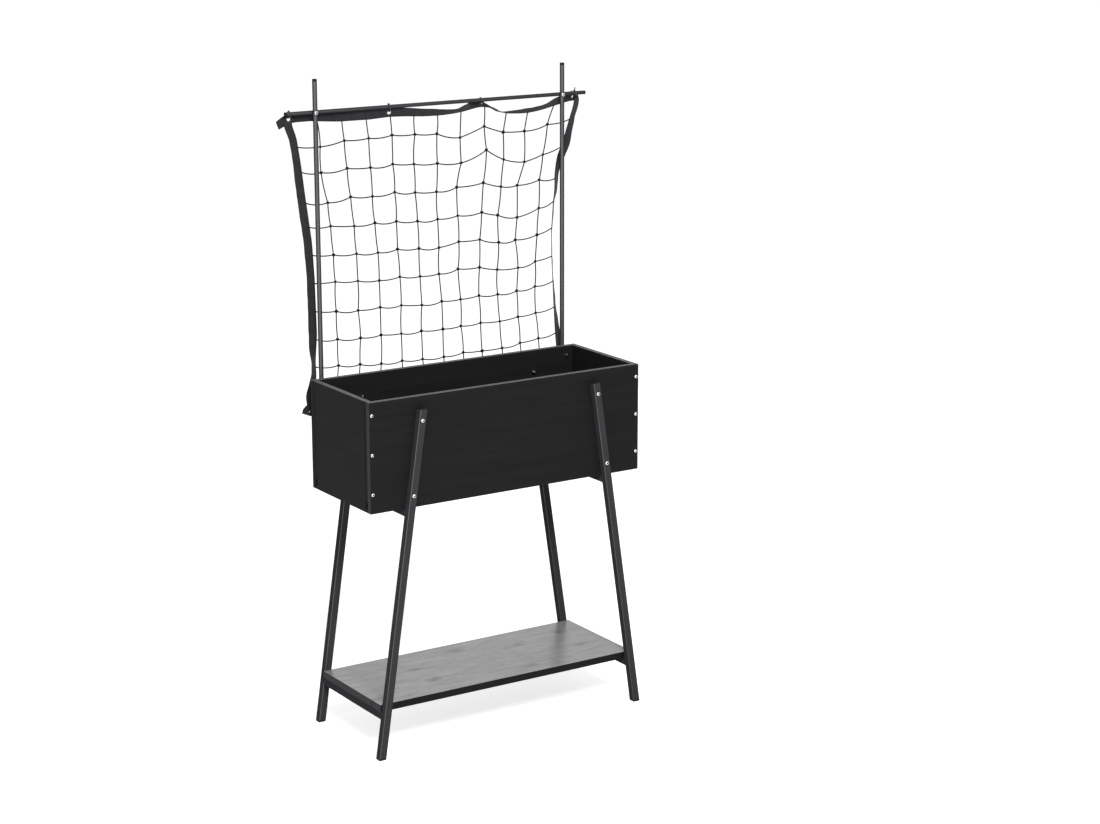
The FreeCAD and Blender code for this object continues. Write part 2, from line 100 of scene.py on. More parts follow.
def lengthAlong(path):
    steps = np.linalg.norm(np.diff(path, axis=0), axis=1)
    return np.concatenate([[0], np.cumsum(steps)])


def ringPattern(points, along, around):
    # u runs round the outline and v along the path, both in millimetres
    u = np.linspace(0, around, points.shape[1] + 1)[None]
    return np.stack(np.broadcast_arrays(u, along[:, None]), -1)


def rodShape(path, radius, sides):
    # a circle of the radius carried along the path; no rod runs exactly the helper's way
    helper = np.broadcast_to([0.05, 1.0, 0.02], path.shape)
    points = capped(sweep(path, helper, superOval(radius, radius, 1, sides))[0])
    along = lengthAlong(path)
    along = np.concatenate([along[:1], along, along[-1:]])
    return points, ringPattern(points, along, 2 * math.pi * radius)


def ballShape(halfSizes, squareness, rows, cols):
    # latitude and longitude on an ellipsoid, with both squared by the same power
    lat = np.linspace(-math.pi / 2, math.pi / 2, rows)[:, None]
    lon = np.linspace(0, 2 * math.pi, cols, endpoint=False)[None]
    power = lambda v: np.sign(v) * np.abs(v) ** squareness
    level = power(np.cos(lat))
    axes = np.broadcast_arrays(level * power(np.cos(lon)), level * power(np.sin(lon)), power(np.sin(lat)))
    return np.stack(axes, -1) * np.asarray(halfSizes, float)


def placeShape(points, axes, centre, size):
    # a shape's own x, y and z turned to three axes and moved to the centre; its pattern is size mm square
    placed = points @ axes + centre
    return placed, ringPattern(placed, np.linspace(0, size, len(placed)), size)


def makePiece(name, shapes, material, slot, replaced=()):
    corners, quads, patterns, start = [], [], [], 0
    for points, pattern in shapes:
        rows, cols = points.shape[:2]
        i, j = (a.ravel() for a in np.meshgrid(np.arange(rows - 1), np.arange(cols), indexing="ij"))
        k = (j + 1) % cols
        low, high = start + i * cols, start + (i + 1) * cols
        quads.append(np.stack([low + j, low + k, high + k, high + j], 1))
        patterns.append(pattern[np.stack([i, i, i + 1, i + 1], 1), np.stack([j, j + 1, j + 1, j], 1)])
        corners.append(points.reshape(-1, 3))
        start += rows * cols
    corners, quads, patterns = (np.concatenate(a) for a in (corners, quads, patterns))
    mesh = bpy.data.meshes.new(name)
    mesh.vertices.add(len(corners))
    mesh.vertices.foreach_set("co", (corners * mm).ravel())
    mesh.loops.add(quads.size)
    mesh.loops.foreach_set("vertex_index", quads.astype(np.int32).ravel())
    mesh.polygons.add(len(quads))
    mesh.polygons.foreach_set("loop_start", np.arange(0, quads.size, 4, dtype=np.int32))
    mesh.update(calc_edges=True)
    mesh.uv_layers.new(name="pattern").data.foreach_set("uv", patterns.ravel())
    work = bmesh.new()
    work.from_mesh(mesh)
    bmesh.ops.remove_doubles(work, verts=work.verts, dist=1e-6)
    bmesh.ops.recalc_face_normals(work, faces=work.faces)
    work.to_mesh(mesh)
    work.free()
    mesh.polygons.foreach_set("use_smooth", np.ones(len(mesh.polygons), bool))
    mesh.materials.append(material)
    piece = bpy.data.objects.new(name, mesh)
    bpy.context.scene.collection.objects.link(piece)
    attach(piece, "root")
    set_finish(piece, slot)
    if replaced:
        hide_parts(*replaced)
    return piece


def pierce(piece, drills):
    # takes closed drill shapes out of a piece, and keeps the result as its mesh
    cutter = makePiece(piece.name + "Drill", drills, piece.data.materials[0], piece["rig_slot"])
    change = piece.modifiers.new("holes", "BOOLEAN")
    change.operation, change.solver, change.object = "DIFFERENCE", "EXACT", cutter
    bpy.context.view_layer.update()
    done = bpy.data.meshes.new_from_object(piece.evaluated_get(bpy.context.evaluated_depsgraph_get()))
    piece.modifiers.clear()
    piece.data = done
    bpy.data.objects.remove(cutter)


# Materials


def linear(code):
    # a hex colour as linear values, with full alpha
    parts = [int(code[k:k + 2], 16) / 255 for k in (1, 3, 5)]
    return tuple(c / 12.92 if c <= 0.04045 else ((c + 0.055) / 1.055) ** 2.4 for c in parts) + (1.0,)


def addNode(tree, kind, settings, links):
    node = tree.nodes.new("ShaderNode" + kind)
    for key, value in settings.items():
        if isinstance(key, int) or key in node.inputs:
            node.inputs[key].default_value = value
        else:
            setattr(node, key, value)
    for key, socket in links.items():
        tree.links.new(socket, node.inputs[key])
    return node


def startMaterial(name, finish):
    material = bpy.data.materials.new(name)
    material.use_nodes = True
    shader = material.node_tree.nodes["Principled BSDF"]
    for key, value in finish.items():
        shader.inputs[key].default_value = value
    return material, material.node_tree, shader


def connect(tree, shader, sockets):
    for key, socket in sockets.items():
        tree.links.new(socket, shader.inputs[key])


def compute(tree, operation, *terms):
    # a math node; each term is a number or a socket
    numbers = {k: term for k, term in enumerate(terms) if isinstance(term, float)}
    sockets = {k: term for k, term in enumerate(terms) if k not in numbers}
    return addNode(tree, "Math", {"operation": operation, **numbers}, sockets).outputs["Value"]


def ramp(tree, value, start, end):
    # the value carried from one range to another, and held inside it
    ranges = {"From Min": start[0], "From Max": start[1], "To Min": end[0], "To Max": end[1]}
    return addNode(tree, "MapRange", ranges, {"Value": value}).outputs["Result"]


def mixColour(tree, share, first, second):
    # from the first colour to the second by the share; each is a hex code or a socket
    colours = {6: first, 7: second}
    codes = {k: linear(colour) for k, colour in colours.items() if isinstance(colour, str)}
    sockets = {k: colour for k, colour in colours.items() if k not in codes}
    return addNode(tree, "Mix", {"data_type": "RGBA", **codes}, {0: share, **sockets}).outputs[2]


def noise(tree, place, scale, detail, roughness=0.5, wander=0.0):
    settings = {"Scale": scale, "Detail": detail, "Roughness": roughness, "Distortion": wander}
    return addNode(tree, "TexNoise", settings, {"Vector": place}).outputs["Fac"]


def bands(tree, pattern, direction, pitch, wander):
    # stripes one pitch apart; a wave node makes 20/2pi of them for each unit of its scale
    settings = {"bands_direction": direction, "Scale": 2 * math.pi / 20 / pitch, "Distortion": wander}
    return addNode(tree, "TexWave", settings, {"Vector": pattern}).outputs["Fac"]


def bump(tree, height, strength, depth):
    settings = {"Strength": strength, "Distance": depth * mm}
    return addNode(tree, "Bump", settings, {"Height": height}).outputs["Normal"]


def grain(tree, place, axis, length, width):
    # the place counted in steps of the length along the axis and of the width across it, in millimetres
    scale = [1 / (width * mm)] * 3
    scale[axis] = 1 / (length * mm)
    return addNode(tree, "Mapping", {"Scale": scale}, {"Vector": place}).outputs["Vector"]


def beyond(tree, place, axis, limit):
    # 1 where the place's own coordinate is further out than the limit, which is in millimetres
    far = compute(tree, "ABSOLUTE", addNode(tree, "SeparateXYZ", {}, {0: place}).outputs[axis])
    return compute(tree, "GREATER_THAN", far, limit * mm)


whole = (0.0, 1.0)  # the range of a noise or a mask that ramp spreads over another
boardLook = {
    # rim is a painted highlight, the top edges painted pale grey; end is the edge band's tone lifted by a
    # painted highlight
    "dark": "#151516", "light": "#19191a", "rim": "#48484a", "end": "#363638",
    "streakLength": 260.0, "streakWidth": 16.0,  # broad tone changes in the foil
    "streakTone": (0.35, 0.68),                  # the noise at the dark and at the light tone
    "poreLength": 34.0, "poreWidth": 1.1,        # printed pores, drawn a little coarse to show
    "poreDepth": 0.04, "roughness": (0.6, 0.72),
    "endAt": 399.7, "rimAt": 921.2,              # the sawn ends and rims carry an edge band, painted paler there as a painted highlight
    "gloss": 0.06, "rimGloss": 0.4,
}


def blackFoilBoard(name, grainAxis, endBandAndHighlight):
    # melamine foil on particle board, pressed with a fine grain: matt black with faint long streaks; the sawn
    # edges are closed with a smoother plastic band. The top rims are painted pale grey, a painted highlight,
    # and the front board's ends are painted paler, partly the band and partly a painted highlight
    look = boardLook
    material, tree, shader = startMaterial(name, {"Specular IOR Level": look["gloss"]})
    place = addNode(tree, "TexCoord", {}, {}).outputs["Object"]
    streakPlace = grain(tree, place, grainAxis, look["streakLength"], look["streakWidth"])
    streaks = noise(tree, streakPlace, 1.0, 4.0, 0.55)
    porePlace = grain(tree, place, grainAxis, look["poreLength"], look["poreWidth"])
    pores = noise(tree, porePlace, 1.0, 2.0, 0.6)
    rim = beyond(tree, place, 2, look["rimAt"])
    tone = mixColour(tree, ramp(tree, streaks, look["streakTone"], whole), look["dark"], look["light"])
    # painted highlight: the top rims are painted pale grey, as where light falls on them from above
    tone = mixColour(tree, rim, tone, look["rim"])
    if endBandAndHighlight:
        # painted highlight: the front board's sawn ends are painted paler, partly the edge band's own tone
        tone = mixColour(tree, beyond(tree, place, 0, look["endAt"]), tone, look["end"])
    connect(tree, shader, {
        "Base Color": tone,
        "Roughness": ramp(tree, pores, whole, look["roughness"]),
        "Specular IOR Level": ramp(tree, rim, whole, (look["gloss"], look["rimGloss"])),
        "Normal": bump(tree, pores, 0.5, look["poreDepth"]),
    })
    return material


shelfLook = {
    "dark": "#3c3c3d", "mid": "#686869", "light": "#848485", "edge": "#0f0f10", "endEdgeWithHighlight": "#2e2e30",
    "figureLength": 95.0, "figureWidth": 20.0,   # cloudy figure of the printed wood
    "figureTone": (0.33, 0.67), "wander": 0.8,
    "poreLength": 42.0, "poreWidth": 1.6, "poreTone": (0.46, 0.3), "poreDepth": 0.08,
    "knotSpread": (230.0, 110.0), "knotSize": 0.17, "knotDepth": 0.7, "knotDull": 0.6, "knotStray": 0.5,
    "roughness": (0.26, 0.38), "edgeRoughness": 0.65,
    "topAt": 139.7, "endAt": 382.1, "gloss": 1.0, "edgeGloss": 0.1,
}


def woodGrainFoil(name):
    # satin foil printed and embossed as oak: long grey figure, dull dark knots and dark pores on the top; the
    # edges are banded in matt black, and the ends' band is painted paler, a painted highlight
    look = shelfLook
    material, tree, shader = startMaterial(name, {"Specular IOR Level": look["gloss"]})
    place = addNode(tree, "TexCoord", {}, {}).outputs["Object"]
    top = beyond(tree, place, 2, look["topAt"])
    figurePlace = grain(tree, place, 0, look["figureLength"], look["figureWidth"])
    figure = noise(tree, figurePlace, 1.0, 5.0, 0.6, look["wander"])
    pores = noise(tree, grain(tree, place, 0, look["poreLength"], look["poreWidth"]), 1.0, 3.0, 0.65)
    knotPlace = grain(tree, place, 0, *look["knotSpread"])
    stray = addNode(tree, "TexNoise", {"Scale": 2.5, "Detail": 3.0}, {"Vector": knotPlace}).outputs["Color"]
    knotPlace = addNode(tree, "VectorMath", {"operation": "MULTIPLY_ADD", 1: [look["knotStray"]] * 3},
                        {0: stray, 2: knotPlace}).outputs["Vector"]
    knotFar = addNode(tree, "TexVoronoi", {"voronoi_dimensions": "2D", "Scale": 1.0},
                      {"Vector": knotPlace}).outputs["Distance"]
    knot = ramp(tree, knotFar, (0.0, look["knotSize"]), (look["knotDepth"], 0.0))
    darkest = compute(tree, "MAXIMUM", ramp(tree, pores, look["poreTone"], whole), knot)
    wood = mixColour(tree, ramp(tree, figure, look["figureTone"], whole), look["mid"], look["light"])
    wood = mixColour(tree, darkest, wood, look["dark"])
    # painted highlight: the end edges are painted paler than the front and back edges
    edge = mixColour(tree, beyond(tree, place, 0, look["endAt"]), look["edge"], look["endEdgeWithHighlight"])
    satin = ramp(tree, figure, whole, look["roughness"])
    gloss = ramp(tree, top, whole, (look["edgeGloss"], look["gloss"]))
    knotGloss = compute(tree, "MULTIPLY_ADD", knot, -look["knotDull"], 1.0)
    connect(tree, shader, {
        "Base Color": mixColour(tree, top, edge, wood),
        "Roughness": addNode(tree, "Mix", {2: look["edgeRoughness"]}, {0: top, 3: satin}).outputs[0],
        "Specular IOR Level": compute(tree, "MULTIPLY", gloss, knotGloss),
        "Normal": bump(tree, pores, 0.6, look["poreDepth"]),
    })
    return material


steelLook = {
    "dark": "#303032", "light": "#38383a",
    "peelWidth": 1.6, "peelDepth": 0.05,  # orange peel of the powder, drawn coarse enough to show
    "cloudWidth": 90.0, "roughness": (0.36, 0.44),
    "gloss": (0.8, 0.0), "turned": (0.04, 0.16),  # the sheen fades on faces that turn away
    "plainGloss": 0.2,                            # for an export, which can't follow the turn
}


def powderCoatedSteel(name):
    # polyester powder on steel tube: satin dark grey with a faint orange peel; the powder's matting agent
    # keeps flanks seen at a slant from shining
    look = steelLook
    material, tree, shader = startMaterial(name, {"Specular IOR Level": look["plainGloss"]})
    place = addNode(tree, "TexCoord", {}, {}).outputs["Object"]
    slant = addNode(tree, "LayerWeight", {"Blend": 0.5}, {}).outputs["Facing"]
    peel = noise(tree, place, 1 / (look["peelWidth"] * mm), 1.5)
    cloud = noise(tree, place, 1 / (look["cloudWidth"] * mm), 3.0)
    connect(tree, shader, {
        "Base Color": mixColour(tree, cloud, look["dark"], look["light"]),
        "Roughness": ramp(tree, cloud, whole, look["roughness"]),
        "Specular IOR Level": ramp(tree, slant, look["turned"], look["gloss"]),
        "Normal": bump(tree, peel, 0.35, look["peelDepth"]),
    })
    return material


def grainyFinish(name, look):
    # one fine noise drives a small tone change, the roughness and a shallow bump
    material, tree, shader = startMaterial(name, look["finish"])
    place = addNode(tree, "TexCoord", {}, {}).outputs
    specks = noise(tree, place["Object"], 1 / (look["width"] * mm), 2.5)
    tone = mixColour(tree, specks, look["dark"], look["light"])
    if "recess" in look:
        # a head's flat crown, facing along y, is painted a duller grey: a painted reflection of the darker
        # room it faces; its socket is painted dark: painted shade in the recess
        facing = addNode(tree, "SeparateXYZ", {}, {0: place["Normal"]}).outputs["Y"]
        crown = ramp(tree, compute(tree, "ABSOLUTE", facing), look["crownFacing"], whole)
        tone = mixColour(tree, crown, tone, look["crown"])
        # painted shade: where ambient occlusion finds the socket, the colour is painted dark
        light = addNode(tree, "AmbientOcclusion", {"Distance": look["recess"] * mm}, {}).outputs["AO"]
        tone = mixColour(tree, ramp(tree, light, look["recessLight"], whole), look["paintedRecessShade"], tone)
    connect(tree, shader, {
        "Base Color": tone,
        "Roughness": ramp(tree, specks, whole, look["roughness"]),
        "Normal": bump(tree, specks, 0.4, look["depth"]),
    })
    return material


# moulded polyethylene: duller and darker than the steel that it closes
capLook = {"dark": "#0e0e0f", "light": "#141415", "width": 0.8, "depth": 0.04, "roughness": (0.55, 0.66),
           "finish": {"Specular IOR Level": 0.15}}
# bright zinc plate: a pale metal glint with a slightly blotched sheen; painted shade greys it down in the
# sockets, and a painted reflection dulls the flat crowns
zincLook = {"dark": "#bcbcb9", "light": "#d8d8d6", "width": 0.9, "depth": 0.01, "roughness": (0.2, 0.34),
            # the crown colour is a painted reflection: the flat crowns are painted a duller grey
            "crown": "#858583", "crownFacing": (0.96, 0.99), "recess": 3.0, "recessLight": (0.5, 0.92),
            "paintedRecessShade": "#1c1c1c", "finish": {"Metallic": 1.0}}
# black nylon: smooth, a little glossy
nylonLook = {"dark": "#121213", "light": "#1a1a1b", "width": 0.7, "depth": 0.02, "roughness": (0.3, 0.4),
             "finish": {"Specular IOR Level": 0.5}}
# black lacquer on pressed brass: a small gloss on each ring
eyeletLook = {"dark": "#1c1c1d", "light": "#272728", "width": 1.0, "depth": 0.01, "roughness": (0.28, 0.4),
              "finish": {"Specular IOR Level": 0.5}}

twineLook = {"dark": "#060607", "light": "#121213", "lay": 3.0, "depth": 0.25,  # mm between strands
             "finish": {"Roughness": 0.7, "Specular IOR Level": 0.12}}


def laidTwine(name, look):
    # twisted polyethylene twine: slanting strands from its own UV map, u round it and v along it
    material, tree, shader = startMaterial(name, look["finish"])
    pattern = addNode(tree, "TexCoord", {}, {}).outputs["UV"]
    strands = bands(tree, pattern, "DIAGONAL", look["lay"] / math.sqrt(3), 0.6)
    connect(tree, shader, {
        "Base Color": mixColour(tree, strands, look["dark"], look["light"]),
        "Normal": bump(tree, strands, 0.8, look["depth"]),
    })
    return material


tapeLook = {"dark": "#161618", "light": "#28282b", "rib": 1.25, "pick": 0.9, "depth": 0.22,
            "weaveTone": 0.6, "tone": (0.3, 1.1),  # the weave's share beside the wear, and the sum's range
            "finish": {"Roughness": 0.82, "Specular IOR Level": 0.15, "Sheen Weight": 0.1,
                       "Sheen Roughness": 0.5}}


def wovenTape(name, look):
    # polypropylene webbing: ribs along its length, crossed by finer picks, dull with a soft sheen
    material, tree, shader = startMaterial(name, look["finish"])
    pattern = addNode(tree, "TexCoord", {}, {}).outputs["UV"]
    ribs = bands(tree, pattern, "X", look["rib"], 0.3)
    picks = bands(tree, pattern, "Y", look["pick"], 0.3)
    weave = compute(tree, "MULTIPLY", ribs, picks)
    wear = noise(tree, pattern, 0.06, 3.0)
    share = ramp(tree, compute(tree, "MULTIPLY_ADD", weave, look["weaveTone"], wear), look["tone"], whole)
    connect(tree, shader, {
        "Base Color": mixColour(tree, share, look["dark"], look["light"]),
        "Normal": bump(tree, weave, 0.7, look["depth"]),
    })
    return material


materials = {
    # the front board's copy differs only in its ends painted paler, a painted highlight
    "frontBoard": blackFoilBoard("blackMelamineFoilFront", 0, True),
    "longBoard": blackFoilBoard("blackMelamineFoilLong", 0, False),
    "endBoard": blackFoilBoard("blackMelamineFoilEnd", 1, False),
    "shelf": woodGrainFoil("blackOakFoil"),
    "steel": powderCoatedSteel("darkPowderCoat"),
    "cap": grainyFinish("blackPolyethylene", capLook),
    "zinc": grainyFinish("brightZincPlate", zincLook),
    "nylon": grainyFinish("blackNylon", nylonLook),
    "eyelet": grainyFinish("blackLacqueredBrass", eyeletLook),
    "twine": laidTwine("blackPolyethyleneTwine", twineLook),
    "tape": wovenTape("darkPolypropyleneWebbing", tapeLook),
}
print("materials made:", len(materials))

# The kept CAD nodes take their finish by the record's slot
finishOfSlot = {"box_board": "longBoard", "shelf_board": "shelf", "frame_steel": "steel",
                "cap_plastic": "cap", "bright_zinc": "zinc", "net_twine": "twine", "tape_webbing": "tape",
                "eyelet_metal": "eyelet", "tie_nylon": "nylon"}
finishOfNode = {"front_board": "frontBoard", "left_end_board": "endBoard", "right_end_board": "endBoard"}
for part in frame["record"]["subparts"]:
    key = finishOfNode.get(part["node"], finishOfSlot[part["material_slot"]])
    surface = nodes[part["node"]].data.materials
    surface.clear()
    surface.append(materials[key])


# Binding tape: a flat oval carried along listed places, with the width turned as it hangs

tapeValues = {
    "width": 25.0, "thick": 1.5, "squareness": 0.42, "outline": 22, "step": 4.0, "blur": 16.0,
    "fold": 0.45, "foldWidth": 0.12,    # how much fuller the folded outer edge is, and over what share
    "ripple": 0.5, "rippleLength": 95.0, "rippleSlant": 1.4, "calmLength": 40.0,
}
# places are x, y, z in mm and the turn in degrees, along a level tape's edge or a side tape's middle
topTape = {
    "from": 0.0, "to": 25.0, "upright": True, "round": (0.0, 9.0),
    "gather": (131.0, 12.0, 0.28),  # x, half width and depth of the tuck where the third tie pulls
    "places": [(-454.2, 183.4, 1555.2, 20), (-449, 183.1, 1558.2, 14), (-442.5, 182.9, 1560.5, 8),
               (-432, 182.5, 1566, 2), (-415, 182.3, 1570.5, 0), (-365, 182, 1570.8, 1),
               (-330, 181.6, 1567.5, 3), (-285, 181, 1564.2, 7), (-200, 181, 1563.5, 12),
               (-144, 181, 1566.5, 18), (-100, 181, 1565, 23), (-40, 181, 1561, 34), (10, 181, 1560.5, 48),
               (47, 181, 1562.5, 56), (68, 181, 1565, 45), (82, 181.4, 1566.5, 37), (98, 182.6, 1569.4, 15),
               (118, 183.6, 1572.6, 14), (127, 183.6, 1573.8, 16), (132, 183.4, 1573.8, 36),
               (137, 182.8, 1573.6, 66), (146, 182.2, 1572.8, 82), (156, 181.3, 1571.5, 90),
               (163, 181, 1568, 92), (171, 181, 1561.5, 92), (186, 181, 1558, 84), (208, 181, 1552, 66),
               (248, 181, 1549.6, 57), (273, 181, 1549.3, 52), (301, 181, 1552.3, 50), (324, 181, 1556, 46),
               (338, 181, 1559, 39), (352, 181.2, 1562, 31), (366, 181.6, 1564.6, 24),
               (383, 182.2, 1567.8, 13), (400, 182.6, 1571, 8), (413, 186.2, 1571.6, 7),
               (441, 197.5, 1571.4, 6)],
}
bottomTape = {
    "from": 0.0, "to": -25.0, "upright": True, "round": (0.0, 0.0),
    "bevel": (9.0, 0.5),            # length and depth of the corner cut off its start
    "places": [(-404.2, 182.7, 851.5, 4), (-397, 182.6, 850, 4), (-387, 182.4, 845.2, 3), (-372, 182, 840, 0),
               (-340, 181.8, 837.5, -4), (-250, 181, 831.5, -8), (-125, 181, 825.5, -11),
               (0, 181, 821.5, -12), (130, 181, 825, -9), (250, 181, 834, -5), (340, 181.6, 844, 0),
               (385, 182.6, 852, 3), (404, 182.8, 855, 4)],
}
leftTape = {
    "from": 12.5, "to": -12.5, "upright": False, "round": (9.0, 0.0),
    "places": [(-431.5, 180.4, 1588, 2), (-431.4, 180.2, 1576, 5), (-430.5, 180, 1563, 10),
               (-417.3, 180, 1529, 17), (-408, 180, 1465, 12), (-399.7, 180, 1390, 6),
               (-383, 180, 1265, 6), (-377.4, 180, 1173, 10),
               (-375.4, 180, 1029, 4), (-377, 180, 994, 14), (-374.5, 180, 958, 42), (-375.5, 180, 924, 30),
               (-381.3, 180, 894, 9), (-387.4, 180, 873, 3), (-387, 180, 865, 2), (-384.2, 180.2, 852, 4),
               (-386, 180.3, 842, 2), (-389.5, 180.4, 829, 2)],
}
rightTape = {
    "from": -12.5, "to": 12.5, "upright": False, "round": (12.5, 0.0),
    "places": [(425, 184.4, 1586, 22), (428.4, 184.2, 1578, 23), (428.4, 183.6, 1569, 24),
               (422, 181.4, 1553, 25), (414.8, 181, 1536, 27), (403.8, 181, 1498, 15), (395.4, 181, 1466, 2),
               (386.6, 181, 1447, 3),
               (379.3, 181, 1434, 5), (373.8, 181, 1421, 9), (367.6, 181, 1402, 23), (362.6, 181, 1380, 33),
               (361.4, 181, 1353, 39), (360, 181, 1337, 41), (356.7, 181, 1321, 46), (353.9, 181, 1308, 50),
               (351.4, 181, 1272, 52), (347.2, 181, 1236, 55), (347.8, 181, 1163, 56), (352, 181, 1090, 54),
               (357, 181, 1025, 44), (365, 181, 955, 28), (374, 180.6, 895, 12), (384, 180.4, 855, 4),
               (392, 180.4, 828, 2)],
}


def tapeLine(tape):
    # the listed places smoothed along the tape's length, one sample every few millimetres; the
    # smoothing dwindles towards the ends, so that they stay put
    places = np.array(tape["places"], float)
    rough = lengthAlong(places[:, :3])
    count = int(rough[-1] / tapeValues["step"]) + 1
    at = np.linspace(0, rough[-1], count)
    ends = tapeValues["blur"] * np.clip(np.minimum(at, rough[-1] - at) / tapeValues["blur"], 0.02, 1)
    line = np.stack([through(np.stack([rough, places[:, k]], 1), at, ends[:, None]) for k in range(4)], 1)
    turn = np.radians(line[:, 3])
    if tape["upright"]:
        sideways = np.stack([0 * turn, -np.sin(turn), np.cos(turn)], 1)
    else:
        sideways = np.stack([np.cos(turn), np.sin(turn), 0 * turn], 1)
    return line[:, :3], sideways


def tapeShape(tape):
    # the oval sits between the tape's two edges, fuller towards the outer one, and ripples off its plane
    values = tapeValues
    path, sideways = tapeLine(tape)
    along = lengthAlong(path)
    low, high = tape["from"], tape["to"]
    oval = superOval(values["width"] / 2, values["thick"] / 2, values["squareness"], values["outline"])
    share = oval[:, 0] / values["width"] + 0.5
    fuller = 1 + values["fold"] * np.exp(-((1 - share) / values["foldWidth"]) ** 2)
    # near a rounded end the width narrows about its middle as a circle does; a tuck draws in its outer edge
    narrow = np.ones(len(along))
    for s, r in zip((along, along[-1] - along), tape["round"]):
        if r > 0:
            narrow = narrow * np.sqrt(1 - (1 - np.clip(s / r, 0.02, 1)) ** 2)
    outward = (low + high) / 2 + (high - low) * (share - 0.5)[None] * narrow[:, None]
    if "bevel" in tape:
        length, depth = tape["bevel"]
        outward = high - (high - outward) * (1 - depth * np.clip(1 - along / length, 0, 1))[:, None]
    if "gather" in tape:
        middle, half, depth = tape["gather"]
        outward = outward * (1 - depth * np.exp(-((path[:, 0] - middle) / half) ** 2))[:, None]
    phase = rng.uniform(0, 2 * math.pi, 3)
    wave = sum(np.sin(along[:, None] * 2 * math.pi * (n + 1) / values["rippleLength"] + phase[n]
                      + values["rippleSlant"] * n * share[None]) / (n + 1) for n in range(3))
    calm = np.clip(np.minimum(along, along[-1] - along) / values["calmLength"], 0, 1)[:, None]
    off = (oval[:, 1] * fuller)[None] + wave * calm * values["ripple"] * share[None]
    points, across, normal = sweep(path, sideways, np.stack([outward, off], -1))
    points = capped(points)
    along = np.concatenate([along[:1], along, along[-1:]])
    return (points, ringPattern(points, along, 2 * values["width"])), path, across, normal


def spotOn(tape, x, offset):
    # the place on a level tape at a given x, as far from its inner edge as the offset
    path, sideways = tapeLine(tape)
    k = int(np.argmin(np.abs(path[:, 0] - x)))
    ahead = unit(np.gradient(path, axis=0))[k]
    across = unit(sideways[k] - (sideways[k] @ ahead) * ahead)
    return path[k] + across * offset * np.sign(tape["to"]), ahead, across


stitchValues = {"pitch": 4.2, "length": 3.0, "radius": 0.34, "inset": 3.2, "proud": 0.12, "margin": 2.0,
                "squareness": 0.8, "grid": (5, 6)}


def stitchShapes(path, across, normal, tape):
    # a row of small ellipsoids on both faces, set in from the inner edge
    values = stitchValues
    along = lengthAlong(path)
    count = int(along[-1] / values["pitch"])
    at = np.linspace(values["margin"], along[-1] - values["margin"], count)
    sample = lambda a: np.stack([np.interp(at, along, a[:, k]) for k in range(3)], 1)
    middle, side, off = sample(path), unit(sample(across)), unit(sample(normal))
    ahead = unit(np.cross(side, off))
    inset = tape["from"] + math.copysign(values["inset"], tape["to"] - tape["from"])
    halfSizes = (values["length"] / 2, values["radius"], values["radius"])
    bead = ballShape(halfSizes, values["squareness"], *values["grid"])
    shapes = []
    for face in (-1, 1):
        lift = face * (tapeValues["thick"] / 2 + values["proud"])
        for k in range(count):
            axes = np.stack([ahead[k], side[k], off[k]])
            place = middle[k] + side[k] * inset + off[k] * lift
            shapes.append(placeShape(bead, axes, place, values["length"]))
    return shapes


topSpots = ((-424.0, 12.5), (-144.0, 12.5), (130.5, 11.7), (415.2, 12.5))  # x, offset from the inner edge
bottomSpots = ((-387.0, 14.0), (-125.0, 12.5), (130.0, 12.5), (387.0, 12.5))
eyeletValues = {"outer": 8.0, "bore": 4.7, "proud": 1.5, "cornerProud": 2.5, "cornerShift": 1.1,
                "squareness": 0.8, "outline": 12, "around": 41, "drillReach": 6.0, "drillSides": 24}
eyeletSpots = [spotOn(topTape, *place) for place in topSpots]
eyeletSpots += [spotOn(bottomTape, *place) for place in bottomSpots]


def eyeletShapes():
    # a flattened ring round each hole: an oval turned about the hole's axis, deeper where two tapes lap
    values = eyeletValues
    middle, half = (values["outer"] + values["bore"]) / 2, (values["outer"] - values["bore"]) / 2
    turn = np.linspace(0, 2 * math.pi, values["around"])
    shapes = []
    for k, (spot, ahead, across) in enumerate(eyeletSpots):
        corner = k % 4 in (0, 3)
        proud = values["cornerProud" if corner else "proud"]
        oval = superOval(half, proud, values["squareness"], values["outline"])
        radial = middle + oval[:, 0]
        ring = np.stack([np.cos(turn)[:, None] * radial, np.sin(turn)[:, None] * radial,
                         np.broadcast_to(oval[:, 1], (len(turn), len(oval)))], -1)
        axes = np.stack([ahead, across, np.cross(ahead, across)])
        shapes.append(placeShape(ring, axes, spot - (0, values["cornerShift"] * corner, 0), 30.0))
    return shapes


def drillShapes(holes):
    # a straight rod of the hole's radius through each eyelet, along its axis
    shapes = []
    for k, radius in holes.items():
        spot, ahead, across = eyeletSpots[k]
        along = np.linspace(-eyeletValues["drillReach"], eyeletValues["drillReach"], 4)[:, None]
        shapes.append(rodShape(spot + along * np.cross(ahead, across), radius, eyeletValues["drillSides"]))
    return shapes


